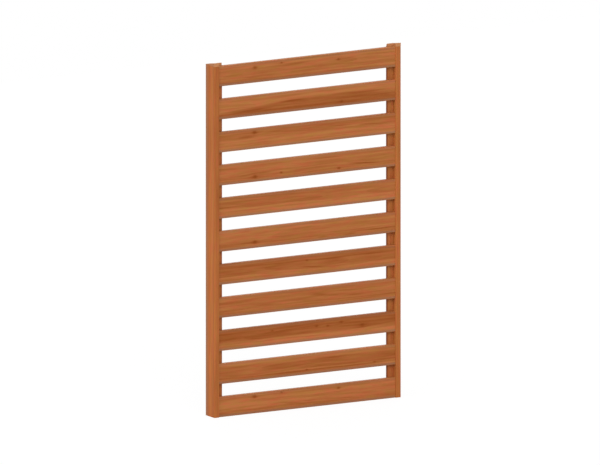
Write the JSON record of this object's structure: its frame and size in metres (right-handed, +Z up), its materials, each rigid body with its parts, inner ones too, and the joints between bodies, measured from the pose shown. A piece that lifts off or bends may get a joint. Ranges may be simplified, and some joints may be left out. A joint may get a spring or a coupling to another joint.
{
  "type": "lattice panel",
  "caption": "Upright wooden screen panel: level slats with open gaps between slim side stiles, held by battens behind and topped by sloping caps.",
  "frame": {"origin": "on the floor, at the middle of the panel's bounding box", "axes": "+X along the slats to the right as seen from the front, +Y from the front to the back, +Z up"},
  "size_m": [1.083, 0.088, 1.818],
  "materials": {
    "stained_softwood": "orange-brown stain, satin, fine grain",
    "cap_wood": "the same stain on lighter, thinly coated wood",
    "screw_steel": "zinc plated",
    "dowel_beech": "bare"
  },
  "bodies": {
    "root": {"left_stile": "stained_softwood", "right_stile": "stained_softwood", "left_batten": "stained_softwood", "right_batten": "stained_softwood", "slat_01": "stained_softwood", "slat_02": "stained_softwood", "slat_03": "stained_softwood", "slat_04": "stained_softwood", "slat_05": "stained_softwood", "slat_06": "stained_softwood", "slat_07": "stained_softwood", "slat_08": "stained_softwood", "slat_09": "stained_softwood", "slat_10": "stained_softwood", "slat_11": "stained_softwood", "left_cap": "cap_wood", "right_cap": "cap_wood", "left_slat_screws": "screw_steel", "right_slat_screws": "screw_steel", "left_batten_screws": "screw_steel", "right_batten_screws": "screw_steel", "left_cap_dowels": "dowel_beech", "right_cap_dowels": "dowel_beech"}
  },
  "joints": []
}
